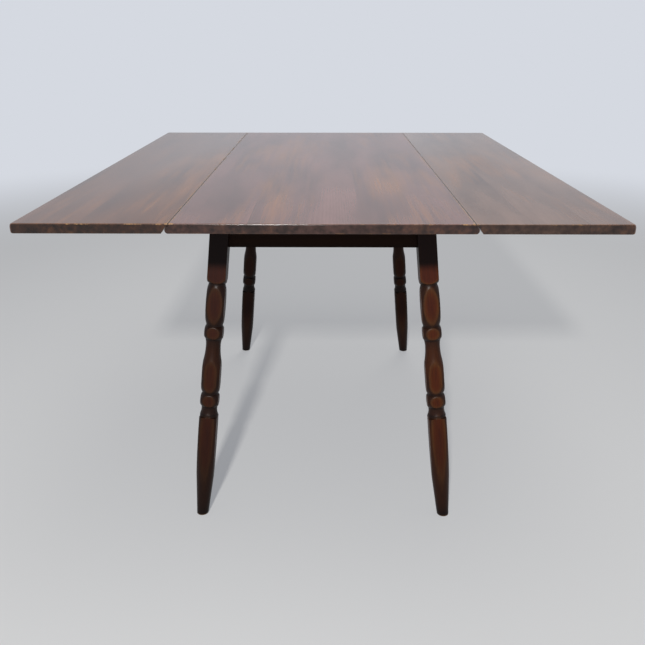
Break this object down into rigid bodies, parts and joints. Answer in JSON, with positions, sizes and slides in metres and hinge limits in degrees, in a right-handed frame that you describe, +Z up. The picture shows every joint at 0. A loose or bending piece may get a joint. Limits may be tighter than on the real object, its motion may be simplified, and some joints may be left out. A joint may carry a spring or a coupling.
{
  "type": "drop-leaf table",
  "caption": "Drop-leaf dining table with rule-jointed leaves, splayed legs turned from square stock, and butterfly wings that swing out under the raised leaves.",
  "frame": {"origin": "on the floor under the middle of the table", "axes": "+X to the right leaf, +Y along the seams away from the front end, +Z up"},
  "size_m": [1.078, 1.245, 0.74],
  "materials": {
    "top_wood": "dark walnut-stained maple, satin lacquer",
    "leg_wood": "dark red-brown stained maple, satin lacquer, worn flats",
    "frame_wood": "dark stained maple, thin lacquer",
    "hinge_steel": "dulled plated steel",
    "screw_steel": "plated steel",
    "glide_steel": "bright worn steel"
  },
  "bodies": {
    "root": {"apron_back": "frame_wood", "apron_front": "frame_wood", "apron_left": "frame_wood", "apron_right": "frame_wood", "corner_block_back_left": "frame_wood", "corner_block_back_right": "frame_wood", "corner_block_front_left": "frame_wood", "corner_block_front_right": "frame_wood", "corner_block_screws": "screw_steel", "foot_glide_back_left": "glide_steel", "foot_glide_back_right": "glide_steel", "foot_glide_front_left": "glide_steel", "foot_glide_front_right": "glide_steel", "leaf_hinge_fixed_left_back": "hinge_steel", "leaf_hinge_fixed_left_front": "hinge_steel", "leaf_hinge_fixed_left_middle": "hinge_steel", "leaf_hinge_fixed_right_back": "hinge_steel", "leaf_hinge_fixed_right_front": "hinge_steel", "leaf_hinge_fixed_right_middle": "hinge_steel", "leaf_hinge_pins_left": "hinge_steel", "leaf_hinge_pins_right": "hinge_steel", "leaf_hinge_screws_fixed_left": "screw_steel", "leaf_hinge_screws_fixed_right": "screw_steel", "leg_back_left": "leg_wood", "leg_back_right": "leg_wood", "leg_front_left": "leg_wood", "leg_front_right": "leg_wood", "tabletop_screws": "screw_steel", "top_centre": "top_wood", "wing_hinge_fixed_back_left": "hinge_steel", "wing_hinge_fixed_back_right": "hinge_steel", "wing_hinge_fixed_front_left": "hinge_steel", "wing_hinge_fixed_front_right": "hinge_steel", "wing_hinge_pins": "hinge_steel", "wing_hinge_screws": "screw_steel"},
    "leaf_left": {"leaf_hinge_moving_left_back": "hinge_steel", "leaf_hinge_moving_left_front": "hinge_steel", "leaf_hinge_moving_left_middle": "hinge_steel", "leaf_hinge_screws_moving_left": "screw_steel", "leaf_left": "top_wood"},
    "leaf_right": {"leaf_hinge_moving_right_back": "hinge_steel", "leaf_hinge_moving_right_front": "hinge_steel", "leaf_hinge_moving_right_middle": "hinge_steel", "leaf_hinge_screws_moving_right": "screw_steel", "leaf_right": "top_wood"},
    "wing_front_left": {"wing_front_left": "frame_wood", "wing_hinge_moving_front_left": "hinge_steel", "wing_screws_front_left": "screw_steel"},
    "wing_front_right": {"wing_front_right": "frame_wood", "wing_hinge_moving_front_right": "hinge_steel", "wing_screws_front_right": "screw_steel"},
    "wing_back_left": {"wing_back_left": "frame_wood", "wing_hinge_moving_back_left": "hinge_steel", "wing_screws_back_left": "screw_steel"},
    "wing_back_right": {"wing_back_right": "frame_wood", "wing_hinge_moving_back_right": "hinge_steel", "wing_screws_back_right": "screw_steel"}
  },
  "joints": [
    {"name": "leaf_left_hinge", "type": "hinge", "parent": "root", "child": "leaf_left", "pos_m": [-0.264, 0, 0.72875], "axis": [0, -1, 0], "range_deg": [0, 89]},
    {"name": "leaf_right_hinge", "type": "hinge", "parent": "root", "child": "leaf_right", "pos_m": [0.264, 0, 0.72875], "axis": [0, 1, 0], "range_deg": [0, 89]},
    {"name": "wing_front_left_hinge", "type": "hinge", "parent": "root", "child": "wing_front_left", "pos_m": [-0.22808, -0.25, 0.676], "axis": [0, 0, -1], "range_deg": [-90, 0]},
    {"name": "wing_front_right_hinge", "type": "hinge", "parent": "root", "child": "wing_front_right", "pos_m": [0.22808, -0.25, 0.676], "axis": [0, 0, 1], "range_deg": [-90, 0]},
    {"name": "wing_back_left_hinge", "type": "hinge", "parent": "root", "child": "wing_back_left", "pos_m": [-0.22808, 0.25, 0.676], "axis": [0, 0, 1], "range_deg": [-90, 0]},
    {"name": "wing_back_right_hinge", "type": "hinge", "parent": "root", "child": "wing_back_right", "pos_m": [0.22808, 0.25, 0.676], "axis": [0, 0, -1], "range_deg": [-90, 0]}
  ]
}
